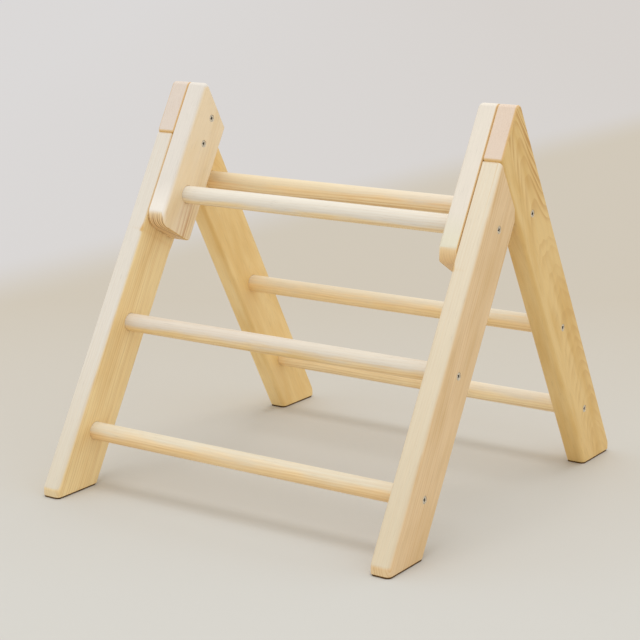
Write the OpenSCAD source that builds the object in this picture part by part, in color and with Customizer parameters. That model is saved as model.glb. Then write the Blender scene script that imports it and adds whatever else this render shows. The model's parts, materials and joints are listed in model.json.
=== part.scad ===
// Folding climbing triangle for small children: two pine ladders that meet at the top.
// The rear ladder carries two cheek boards on its inner faces. The front ladder hangs between
// the rails' plane and turns on its own top rung, which runs through the bores of the cheeks.
// X runs along the rungs, -Y is the front, +Z is up. The origin is on the floor, under the apex.

/* [Stance] */
// Height at which the outer edges of the two ladders would meet
apex_h = 500; // [470:5:620]
// Lean of each ladder from the vertical, in degrees
lean = 30; // [28:0.5:32]
// Width over the outer faces of the front rails
ladder_w = 508; // [420:4:640]

/* [Boards] */
// Width of the rails and cheek boards
rail_w = 70; // [62:1:78]
// Thickness of the rails and cheek boards
board_t = 26; // [22:0.5:32]
// Radius of the rounded long edges
edge_r = 6; // [3:0.5:9]
// Radius of the eased edges where two boards lie side by side
seam_r = 1; // [0.5:0.25:2]
// Radius of the rounded top of the apex
apex_r = 8; // [4:0.5:12]
// Height of the blunted tip of each foot above the floor
tip_h = 12; // [8:1:16]
// Gap between the mitred head of a front rail and the rail that stops it
stop_gap = 0.4; // [0.3:0.1:1]
// Running gap between a front rail and its cheek board
side_gap = 1.2; // [0.6:0.1:2]
// Gap left between the rails of the two ladders when they are folded together
fold_gap = 7.5; // [5:0.5:14]

/* [Cheek boards] */
// Length of a cheek board below the pivot
cheek_drop = 54; // [44:1:70]
// Radius of a cheek board's front lower corner
toe_r = 20; // [12:1:28]
// Radius of a cheek board's rear lower corner
heel_r = 8; // [4:1:14]
// Distance between the two screws of a cheek board
cheek_screw_pitch = 36; // [28:1:44]

/* [Rungs] */
// Diameter of the rungs
rung_d = 23; // [20:0.5:28]
// Depth of the blind sockets that hold the rung ends
socket_depth = 12; // [8:0.5:14]
// Radial play of a rung in its socket
socket_play = 0.05; // [0.03:0.01:0.08]
// Radial play of the top front rung in the bores of the cheeks
pivot_play = 0.1; // [0.06:0.01:0.1]
// Distance from the pivot rung to the middle front rung
front_step_upper = 179; // [150:1:200]
// Distance from the middle to the lowest front rung
front_step_lower = 146; // [120:1:170]
// Distance from the apex to the top rear rung, along the rail
rear_top_station = 143; // [136:1:160]
// Distance from the top to the middle rear rung
rear_step_upper = 183; // [150:1:200]
// Distance from the middle to the lowest rear rung
rear_step_lower = 142; // [120:1:165]

/* [Screws] */
// Diameter of the screw heads
head_d = 9; // [7:0.5:10]
// Diameter of the screw shanks
shank_d = 4.5; // [3.5:0.25:5]
// Depth of a screw head below the face of the board
head_sink = 0.4; // [0:0.1:1]
// Depth to which a rung screw bites into the end of its rung
rung_bite = 36; // [24:1:45]
// Depth to which a cheek screw bites into the head of the rear rail
cheek_bite = 18; // [12:1:20]
// Radial play of a screw in its hole
screw_play = 0.05; // [0.03:0.01:0.08]

/* [Feet] */
// Thickness of the anti-slip pad under each foot
pad_t = 2; // [1.5:0.25:3]
// Distance by which a pad stays inside the edge of its foot
pad_inset = 0.8; // [0.4:0.1:2]

/* [Hidden] */
$fn = 64;

LEFT = -1;
RIGHT = 1;

// Planes across the width, for the right-hand side
front_out_x = ladder_w / 2;
front_in_x = front_out_x - board_t;
rear_out_x = front_out_x - side_gap;
rear_in_x = rear_out_x - board_t;
cheek_in_x = rear_in_x - board_t;

// In a ladder's own plane a point is [across the rail from its outer edge, height along the rail
// from the apex], so the second number is negative. Both ladders share these sizes.
fold = 2 * lean;
mid_line = rail_w / 2;
pivot_to_stop = mid_line + fold_gap;
pivot_station = (rail_w + pivot_to_stop + mid_line * cos(fold)) / sin(fold);
mitre_start = (rail_w + stop_gap) / sin(fold);
head_drop = rail_w / tan(fold);
head_mid = mid_line * (1 + cos(fold)) / sin(fold);
cheek_len = pivot_station + cheek_drop;
sole_z = pad_t;
rail_len = apex_h / cos(lean);
front_stations = [
  pivot_station,
  pivot_station + front_step_upper,
  pivot_station + front_step_upper + front_step_lower
];
rear_stations = [
  rear_top_station,
  rear_top_station + rear_step_upper,
  rear_top_station + rear_step_upper + rear_step_lower
];
cheek_stations = [head_mid - cheek_screw_pitch / 2, head_mid + cheek_screw_pitch / 2];

// Screw details
head_h = (head_d - shank_d) / 2;
head_rim = 0.4;
tip_len = 6;
tip_d = 1;
cross_w = 1.1;
cross_arm = 0.52 * head_d;
cross_depth = 2;

arc_steps = 8;
past = 1;

pine_front = "#E6D2A8";
pine_rear = "#D9B87C";
pine_cheek = "#E4CDA2";
pine_rung = "#E9D3A8";
zinc = "#8E8F92";
pad_black = "#2F2620";

// Points of an arc
function arc(centre, r, from, to) =
  [for (i = [0 : arc_steps]) let (a = from + (to - from) * i / arc_steps) centre + r * [cos(a), sin(a)]];

// A point given by its place in the YZ plane, in the ladder's own plane
function in_ladder(y, z) =
  [y * cos(lean) - (z - apex_h) * sin(lean), y * sin(lean) + (z - apex_h) * cos(lean)];

// Rounded apex between the outer edge and the cut that follows the other ladder's outer edge
function apex_points() = arc([apex_r, -apex_r / tan(lean)], apex_r, 180, fold);

// Blunted tip and flat sole, from the heel to the outer edge
tip_y = -(apex_h - tip_h) * tan(lean);
heel_y = -(apex_h - sole_z) * tan(lean) + rail_w / cos(lean);
function foot_points() = [in_ladder(heel_y, sole_z), in_ladder(tip_y, sole_z), in_ladder(tip_y, tip_h)];

// Side outline of a front rail: its head is mitred against the rear rail, and rounded about the pivot
function front_rail_outline() = concat(
  foot_points(),
  [[0, -mitre_start]],
  arc([mid_line, -pivot_station], pivot_to_stop - stop_gap, fold, acos(mid_line / (pivot_to_stop - stop_gap)))
);

// Side outline of a rear rail: its head is cut flush with the front rail's outer edge
function rear_rail_outline() = concat(foot_points(), apex_points(), [[rail_w, -head_drop]]);

// Side outline of a cheek board
function cheek_outline() = concat(
  apex_points(),
  [[rail_w, -head_drop]],
  arc([rail_w - heel_r, heel_r - cheek_len], heel_r, 0, -90),
  arc([toe_r, toe_r - cheek_len], toe_r, -90, -180)
);

// Section of a board: thickness along X from its inner face, width along Y
function board_section(inner_r, outer_r) = concat(
  arc([inner_r, inner_r], inner_r, 180, 270),
  arc([board_t - outer_r, outer_r], outer_r, 270, 360),
  arc([board_t - outer_r, rail_w - outer_r], outer_r, 0, 90),
  arc([inner_r, rail_w - inner_r], inner_r, 90, 180)
);

module on_side(side) {
  if (side == LEFT) mirror([1, 0, 0]) children();
  else children();
}

module front_ladder() {
  translate([0, 0, apex_h]) rotate([-lean, 0, 0]) children();
}

module rear_ladder() {
  mirror([0, 1, 0]) front_ladder() children();
}

// Plain length of board between two distances from the apex
module board_run(x, from, to, inner_r, outer_r) {
  translate([x, 0, -to]) linear_extrude(height = to - from) polygon(board_section(inner_r, outer_r));
}

// Prism with a side outline, wide enough to pass both faces of a board
module side_prism(x, outline) {
  translate([x - past, 0, 0])
    rotate([90, 0, 90])
      linear_extrude(height = board_t + 2 * past)
        polygon(outline);
}

// Profile of a screw from its head down, grown by a play
function screw_profile(len, play) = [
  [0, -len - play],
  [tip_d / 2 + play, -len - play],
  [shank_d / 2 + play, tip_len - len],
  [shank_d / 2 + play, -head_rim - head_h],
  [head_d / 2 + play, -head_rim],
  [head_d / 2 + play, 0],
  [0, 0]
];

module screw(len) {
  difference() {
    rotate_extrude() polygon(screw_profile(len, 0));
    for (turn = [0, 90])
      rotate([0, 0, turn])
        translate([-cross_arm / 2, -cross_w / 2, -cross_depth])
          cube([cross_arm, cross_w, cross_depth + past]);
  }
}

// Space that a screw takes, open to the face of the board
module screw_space(len) {
  rotate_extrude() polygon(screw_profile(len, screw_play));
  translate([0, 0, -head_rim / 2]) cylinder(h = head_rim / 2 + head_sink + past, r = head_d / 2 + screw_play);
}

// Children stand at a rung station, with +Z along the rungs towards the outside
module at_station(station, x) {
  translate([x, mid_line, -station]) rotate([0, 90, 0]) children();
}

rung_screw_len = board_t - socket_depth - head_sink + rung_bite;
cheek_screw_len = board_t - head_sink + cheek_bite;

module rung_screws(stations, out_x) {
  for (station = stations) at_station(station, out_x - head_sink) screw(rung_screw_len);
}

module rung_screw_spaces(stations, out_x) {
  for (station = stations) at_station(station, out_x - head_sink) screw_space(rung_screw_len);
}

module cheek_screw_places() {
  for (station = cheek_stations)
    translate([cheek_in_x + head_sink, mid_line, -station]) rotate([0, -90, 0]) children();
}

// Blind sockets in the inner face of a rail
module rung_sockets(stations, in_x) {
  for (station = stations)
    at_station(station, in_x - past) cylinder(h = socket_depth + past, r = rung_d / 2 + socket_play);
}

// Rung between the rails of a ladder, with the holes of its two screws
module rung(station, in_x, out_x) {
  half = in_x + socket_depth;
  difference() {
    at_station(station, -half) cylinder(h = 2 * half, d = rung_d);
    for (side = [LEFT, RIGHT]) on_side(side) rung_screw_spaces([station], out_x);
  }
}

module front_rail(side) {
  color(pine_front) on_side(side) front_ladder() difference() {
    intersection() {
      union() {
        board_run(front_in_x, 0, cheek_len, seam_r, edge_r);
        board_run(front_in_x, cheek_len, rail_len, edge_r, edge_r);
      }
      side_prism(front_in_x, front_rail_outline());
    }
    rung_sockets(front_stations, front_in_x);
    rung_screw_spaces(front_stations, front_out_x);
  }
}

module rear_rail(side) {
  color(pine_rear) on_side(side) difference() {
    rear_ladder() difference() {
      intersection() {
        board_run(rear_in_x, 0, rail_len, edge_r, edge_r);
        side_prism(rear_in_x, rear_rail_outline());
      }
      rung_sockets(rear_stations, rear_in_x);
      rung_screw_spaces(rear_stations, rear_out_x);
    }
    front_ladder() cheek_screw_places() screw_space(cheek_screw_len);
  }
}

module cheek_board(side) {
  color(pine_cheek) on_side(side) front_ladder() difference() {
    intersection() {
      board_run(cheek_in_x, 0, cheek_len, edge_r, seam_r);
      side_prism(cheek_in_x, cheek_outline());
    }
    at_station(pivot_station, cheek_in_x - past)
      cylinder(h = board_t + 2 * past, r = rung_d / 2 + pivot_play);
    cheek_screw_places() screw_space(cheek_screw_len);
  }
}

module front_rung(index) {
  color(pine_rung) front_ladder() rung(front_stations[index], front_in_x, front_out_x);
}

module rear_rung(index) {
  color(pine_rung) rear_ladder() rung(rear_stations[index], rear_in_x, rear_out_x);
}

module front_rung_screws(side) {
  color(zinc) on_side(side) front_ladder() rung_screws(front_stations, front_out_x);
}

module rear_rung_screws(side) {
  color(zinc) on_side(side) rear_ladder() rung_screws(rear_stations, rear_out_x);
}

module cheek_screws(side) {
  color(zinc) on_side(side) front_ladder() cheek_screw_places() screw(cheek_screw_len);
}

// Thin pad under the sole of a front foot, with its corners rounded like the edges of the board
module foot_pad(in_x) {
  low = [in_x + pad_inset, tip_y + pad_inset];
  high = [in_x + board_t - pad_inset, heel_y - pad_inset];
  r = edge_r - pad_inset;
  linear_extrude(height = pad_t)
    polygon(concat(
      arc([low[0] + r, low[1] + r], r, 180, 270),
      arc([high[0] - r, low[1] + r], r, 270, 360),
      arc([high[0] - r, high[1] - r], r, 0, 90),
      arc([low[0] + r, high[1] - r], r, 90, 180)
    ));
}

module front_foot_pad(side) {
  color(pad_black) on_side(side) foot_pad(front_in_x);
}

module rear_foot_pad(side) {
  color(pad_black) on_side(side) mirror([0, 1, 0]) foot_pad(rear_in_x);
}

front_rail(LEFT);  // front_rail_left
front_rail(RIGHT);  // front_rail_right
rear_rail(LEFT);  // rear_rail_left
rear_rail(RIGHT);  // rear_rail_right
cheek_board(LEFT);  // cheek_board_left
cheek_board(RIGHT);  // cheek_board_right
front_rung(0);  // front_top_rung
front_rung(1);  // front_middle_rung
front_rung(2);  // front_bottom_rung
rear_rung(0);  // rear_top_rung
rear_rung(1);  // rear_middle_rung
rear_rung(2);  // rear_bottom_rung
front_rung_screws(LEFT);  // front_rung_screws_left
front_rung_screws(RIGHT);  // front_rung_screws_right
rear_rung_screws(LEFT);  // rear_rung_screws_left
rear_rung_screws(RIGHT);  // rear_rung_screws_right
cheek_screws(LEFT);  // cheek_screws_left
cheek_screws(RIGHT);  // cheek_screws_right
front_foot_pad(LEFT);  // front_foot_pad_left
front_foot_pad(RIGHT);  // front_foot_pad_right
rear_foot_pad(LEFT);  // rear_foot_pad_left
rear_foot_pad(RIGHT);  // rear_foot_pad_right
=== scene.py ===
"""Looks of a folding climbing triangle: two pine ladders that meet at the top and fold flat.

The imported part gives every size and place. Each board, rung, screw and pad is modelled here at the
place of its part, rides on the same body and is dressed in its own cut of pine, zinc or rubber.
Lengths are metres, +Z is up, -Y is the front ladder's side and X runs along the rungs.
"""

import json
import logging
import math
from abc import ABC, abstractmethod
from collections.abc import Callable, Iterator, Sequence
from contextlib import contextmanager
from dataclasses import astuple, dataclass, field
from enum import Enum
from functools import partial
from typing import TypeVar

import bmesh
import bpy
from bpy.types import Material, NodeSocket, NodeTree, Object, World
from mathutils import Euler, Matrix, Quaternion, Vector
from mathutils.geometry import intersect_point_line

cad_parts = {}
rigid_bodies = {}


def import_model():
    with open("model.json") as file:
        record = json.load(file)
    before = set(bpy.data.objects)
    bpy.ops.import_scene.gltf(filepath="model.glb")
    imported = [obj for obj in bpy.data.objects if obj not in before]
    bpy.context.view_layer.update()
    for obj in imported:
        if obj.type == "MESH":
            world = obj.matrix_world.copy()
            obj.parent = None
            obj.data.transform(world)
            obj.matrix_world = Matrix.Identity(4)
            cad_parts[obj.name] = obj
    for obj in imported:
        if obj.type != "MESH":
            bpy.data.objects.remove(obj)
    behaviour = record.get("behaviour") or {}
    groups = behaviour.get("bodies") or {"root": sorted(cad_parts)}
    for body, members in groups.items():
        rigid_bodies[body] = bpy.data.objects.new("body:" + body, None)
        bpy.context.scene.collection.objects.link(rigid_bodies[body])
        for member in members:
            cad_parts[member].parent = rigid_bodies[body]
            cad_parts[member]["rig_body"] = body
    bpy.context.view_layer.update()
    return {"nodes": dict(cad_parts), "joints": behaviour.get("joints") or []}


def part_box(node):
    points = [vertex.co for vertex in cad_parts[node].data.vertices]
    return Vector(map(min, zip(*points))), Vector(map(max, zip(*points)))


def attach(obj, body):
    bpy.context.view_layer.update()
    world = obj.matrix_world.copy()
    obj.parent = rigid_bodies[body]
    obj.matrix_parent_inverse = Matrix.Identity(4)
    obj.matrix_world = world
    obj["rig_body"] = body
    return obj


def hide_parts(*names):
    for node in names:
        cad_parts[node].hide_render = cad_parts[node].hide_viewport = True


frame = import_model()

LOG = logging.getLogger("climbing_triangle")
MM = 0.001
TINY = 1e-5  # two places this near are one
HAIR = 1e-7  # how near a vertex has to be to a saw cut to be moved onto it
TIGHT = 5 * MM  # roundings under this radius take up more oil and are painted with shade
STAND_OUT = 2 * MM  # how far a bore's cutter stands out of the wood
OIL_AND_SHADE = "worn"  # attribute that says how far a vertex lies on a tight rounding
BEVEL_WEIGHT = "bevel_weight_edge"
ALONG = 0.5  # an edge runs along an axis where its direction has more than this share of it
FACING = 0.9  # a face looks along an axis where its normal has more than this share of it

Choice = TypeVar("Choice")
Span = tuple[float, float]
RadiusOf = Callable[[Vector, Vector], float]
AddNode = Callable[..., NodeSocket]


class Side(Enum):
    """The two ends of the rungs."""

    LEFT = -1
    RIGHT = 1

    @property
    def word(self) -> str:
        """Word used in the names of the parts on this side."""
        return self.name.lower()

    @property
    def other(self) -> "Side":
        """The side across."""
        return Side(-self.value)

    def pick(self, right: Choice, left: Choice) -> Choice:
        """The right one or the left one of a pair."""
        return right if self is Side.RIGHT else left


class Cut(Enum):
    """How a piece was sawn from the log, as the direction from the piece to the log's centre."""

    FLAT_LEFT = (-1.0, 0.0)
    FLAT_RIGHT = (1.0, 0.0)
    RIFT = (0.75, -0.66)
    STEEP_RIFT = (0.9, -0.44)


class Marks(Enum):
    """Marks drawn out along the grain: width and length in mm, detail, and a shift of their own.

    Real fibres and resin ducts are about ten times as fine. They are drawn this coarse because
    finer ones don't show in the picture.
    """

    FIBRES = (1.5, 34.0, 3.0, 11.0)
    CLOUDS = (22.0, 110.0, 2.0, 37.0)
    STREAKS = (9.0, 70.0, 2.0, 71.0)
    PATCHES = (16.0, 150.0, 1.0, 51.0)
    DUCTS = (1.3, 16.0, 1.0, 23.0)


# ---- Workbench: edit-mode steps that every piece goes through


def select_only(*objects: Object) -> None:
    """Select these objects alone and make the first one active.

    Args:
        objects: The objects to select.
    """
    bpy.ops.object.select_all(action="DESELECT")
    for obj in objects:
        obj.select_set(True)
    bpy.context.view_layer.objects.active = objects[0] if objects else None


@contextmanager
def editing(obj: Object) -> Iterator[bmesh.types.BMesh]:
    """Open a mesh in edit mode with all of it selected, and close it again.

    Args:
        obj: The mesh object to edit.

    Returns:
        The edit mesh, for selecting its edges and faces.
    """
    select_only(obj)
    bpy.ops.object.mode_set(mode="EDIT")
    bpy.ops.mesh.select_all(action="SELECT")
    yield bmesh.from_edit_mesh(obj.data)
    bpy.ops.object.mode_set(mode="OBJECT")


def apply_modifier(obj: Object, kind: str, **settings: object) -> None:
    """Add a modifier with its settings and apply it.

    Args:
        obj: The mesh object.
        kind: Blender's name for the type of modifier.
        settings: Values of the modifier's properties.
    """
    select_only(obj)
    bpy.ops.object.modifier_add(type=kind)
    modifier = obj.modifiers[-1]
    for name, value in settings.items():
        setattr(modifier, name, value)
    bpy.ops.object.modifier_apply(modifier=modifier.name)


def saw_block(name: str, low: Vector, high: Vector) -> Object:
    """Start a piece as a block between two corners.

    Args:
        name: Name of the piece.
        low: Lowest corner.
        high: Highest corner.

    Returns:
        The block.
    """
    select_only()
    bpy.ops.mesh.primitive_cube_add(size=1.0, location=(low + high) / 2, scale=high - low)
    block = bpy.context.object
    block.name = name
    bpy.ops.object.transform_apply()
    return block


def saw(obj: Object, point: Vector, outward: Vector, through: bool = True) -> None:
    """Saw off what lies beyond a plane and close the cut, or only score a line there.

    Args:
        obj: The piece.
        point: A point on the plane.
        outward: The plane's normal, towards the offcut.
        through: False scores a line of edges, for a later change of rounding.
    """
    with editing(obj):
        bpy.ops.mesh.bisect(
            plane_co=point, plane_no=outward, use_fill=through, clear_outer=through, threshold=HAIR
        )


def shave_arc(
    obj: Object, centre: Vector, radius: float, turn: tuple[Vector, Vector], flats: int
) -> None:
    """Shave a corner to an arc with a row of flats.

    Args:
        obj: The piece.
        centre: Centre of the arc, in the side plane.
        radius: Radius of the arc.
        turn: Outward directions at which the arc begins and ends.
        flats: Number of steps in which the direction turns.
    """
    start, end = turn
    for step in range(1, flats):
        outward = start.slerp(end, step / flats)
        saw(obj, centre + radius * outward, outward)


def round_edges(
    obj: Object, radius_of: RadiusOf, segments: int, least_bend_deg: float = 1.0
) -> None:
    """Round the edges of a piece, each with a radius of its own, and mark the tight roundings.

    Args:
        obj: The piece.
        radius_of: Gives an edge's radius from its middle and its direction; 0 leaves it sharp.
        segments: Number of facets across a rounding.
        least_bend_deg: Edges that bend by less than this are left as they are.
    """
    with editing(obj) as mesh:
        weight = mesh.edges.layers.float.new(BEVEL_WEIGHT)
        least = math.radians(least_bend_deg)
        bends = [edge for edge in mesh.edges if edge.calc_face_angle() > least]
        rounded = []
        for edge in bends:
            start, end = (vertex.co.copy() for vertex in edge.verts)
            rounded.append((start, end, radius_of((start + end) / 2, (end - start).normalized())))
        largest = max(radius for _, _, radius in rounded)
        for edge, (_, _, radius) in zip(bends, rounded):
            edge[weight] = radius / largest
    apply_modifier(
        obj, "BEVEL", limit_method="WEIGHT", width=largest, segments=segments, use_clamp_overlap=False
    )
    left_over = obj.data.attributes.get(BEVEL_WEIGHT)
    if left_over:
        obj.data.attributes.remove(left_over)
    mark_worn(obj, [edge for edge in rounded if TINY < edge[2] < TIGHT])


def mark_worn(obj: Object, edges: list[tuple[Vector, Vector, float]]) -> None:
    """Store how far each vertex lies on a tight rounding, for the finish to tint as oil and painted
    shade.

    Args:
        obj: The piece.
        edges: Start, end and radius of the edges that were rounded tightly.
    """
    gain = 1.6  # a vertex counts in full before it reaches the old edge
    past_end = 0.01  # share of its length by which an edge's rounding may be longer
    worn = obj.data.attributes.get(OIL_AND_SHADE) or obj.data.attributes.new(OIL_AND_SHADE, "FLOAT", "POINT")
    shares = [0.0] * len(obj.data.vertices)
    worn.data.foreach_get("value", shares)
    for number, vertex in enumerate(obj.data.vertices):
        for start, end, radius in edges:
            foot, along = intersect_point_line(vertex.co, start, end)
            if -past_end < along < 1 + past_end:
                nearness = 1 - (vertex.co - foot).length / radius
                shares[number] = max(shares[number], min(1.0, gain * nearness))
    worn.data.foreach_set("value", shares)


def turn_profile(name: str, profile: Sequence[Span], vertices: int) -> Object:
    """Turn a solid about Z: a disc is drawn out and widened or narrowed at each step.

    Args:
        name: Name of the piece.
        profile: (height, radius) of each step.
        vertices: Number of vertices round the solid.

    Returns:
        The turned solid, about the Z axis.
    """
    (start, radius), *steps = profile
    select_only()
    bpy.ops.mesh.primitive_circle_add(
        vertices=vertices, radius=radius, fill_type="NGON", location=(0, 0, start)
    )
    solid = bpy.context.object
    solid.name = name
    bpy.ops.object.transform_apply()
    with editing(solid):
        for height, wider in steps:
            bpy.ops.mesh.extrude_region_move(TRANSFORM_OT_translate={"value": (0, 0, height - start)})
            ratio = wider / radius
            bpy.ops.transform.resize(value=(ratio, ratio, 1), center_override=(0, 0, height))
            start, radius = height, wider
        bpy.ops.mesh.select_all(action="SELECT")
        bpy.ops.mesh.normals_make_consistent(inside=False)
    return solid


def lay_along_x(obj: Object, place: Vector, side: Side, spin: float = 0.0) -> None:
    """Lay a turned solid along X, with its +Z end towards a side, and fix its place in its mesh.

    Args:
        obj: The solid, about the Z axis.
        place: Where its origin goes.
        side: The side that its +Z end points to.
        spin: Turn about its own axis, in radians.
    """
    select_only(obj)
    obj.rotation_euler = (0, 0, spin)
    bpy.ops.object.transform_apply()
    obj.rotation_euler = (0, side.value * math.pi / 2, 0)
    obj.location = place
    bpy.ops.object.transform_apply()


def carve(obj: Object, cutters: Sequence[Object]) -> None:
    """Cut the shapes of some cutters out of a piece, and remove the cutters.

    Args:
        obj: The piece.
        cutters: The cutters, as closed solids.
    """
    for cutter in cutters:
        apply_modifier(obj, "BOOLEAN", operation="DIFFERENCE", solver="EXACT", object=cutter)
        bpy.data.objects.remove(cutter)


def finish_surface(obj: Object, sharp_deg: float) -> None:
    """Merge stray doubles and shade the roundings smooth.

    Args:
        obj: The piece.
        sharp_deg: Edges that bend by more than this stay sharp.
    """
    with editing(obj):
        bpy.ops.mesh.remove_doubles(threshold=10 * HAIR)
    select_only(obj)
    bpy.ops.object.shade_smooth_by_angle(angle=math.radians(sharp_deg))
    apply_modifier(obj, "WEIGHTED_NORMAL", keep_sharp=True)


def beside(x: float, place: Vector) -> Vector:
    """The point straight beside a place, at this x."""
    return Vector((x, place.y, place.z))


def centre_of(node: str) -> Vector:
    """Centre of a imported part's box."""
    low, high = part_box(node)
    return (low + high) / 2


def hang(piece: Object, node: str, material: Material) -> None:
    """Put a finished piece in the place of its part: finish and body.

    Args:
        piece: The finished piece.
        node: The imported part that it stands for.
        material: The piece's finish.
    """
    piece.data.materials.clear()
    piece.data.materials.append(material)
    body = frame["nodes"][node]["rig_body"]
    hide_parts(node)
    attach(piece, body)
    LOG.info("%s stands for %s on %s, %d faces", piece.name, node, body, len(piece.data.polygons))


# ---- Finishes


def colour(hex_code: str) -> tuple[float, float, float, float]:
    """Turn an sRGB hex colour into the linear colour that a shader takes.

    Args:
        hex_code: Colour such as "#E3C89A".

    Returns:
        Linear red, green, blue and an alpha of 1.
    """
    channels = [int(hex_code[i : i + 2], 16) / 255 for i in (1, 3, 5)]
    linear = [c / 12.92 if c <= 0.04045 else ((c + 0.055) / 1.055) ** 2.4 for c in channels]
    return (*linear, 1.0)


def add_node(
    tree: NodeTree,
    kind: str,
    inputs: Sequence[object] | dict[str, object] = (),
    output: str | None = None,
    **settings: object,
) -> NodeSocket | None:
    """Add a node with its settings and links.

    Args:
        tree: The node tree.
        kind: Blender's name for the type of node, without its "ShaderNode".
        inputs: What its inputs get, in their order or by name: an output is linked, a value is set.
        output: Name of the wanted output; the first one is taken without it.
        settings: Values of the node's own properties.

    Returns:
        The wanted output, or None from a node that has none.
    """
    node = tree.nodes.new(f"ShaderNode{kind}")
    for name, value in settings.items():
        setattr(node, name, value)
    if isinstance(inputs, dict):
        pairs = [(node.inputs[name], value) for name, value in inputs.items()]
    else:
        pairs = zip([socket for socket in node.inputs if socket.enabled], inputs)
    for socket, value in pairs:
        if isinstance(value, NodeSocket):
            tree.links.new(value, socket)
        else:
            socket.default_value = value
    return next((end for end in node.outputs if end.enabled and output in (None, end.name)), None)


def open_nodes(owner: Material | World) -> AddNode:
    """Empty the node tree of a material or a sky.

    Args:
        owner: The material or the sky.

    Returns:
        add_node for that tree.
    """
    owner.use_nodes = True
    owner.node_tree.nodes.clear()
    return partial(add_node, owner.node_tree)


@dataclass(frozen=True)
class Tones:
    """Ground tones of one cut of pine.

    pale and low_pale are the painted-lit tone of its faces that look up, near the top and near the
    low end; golden and deep are the painted-shade tone of its sides and undersides and the broad
    clouds on them.
    """

    pale: str
    low_pale: str
    golden: str
    deep: str


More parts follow.
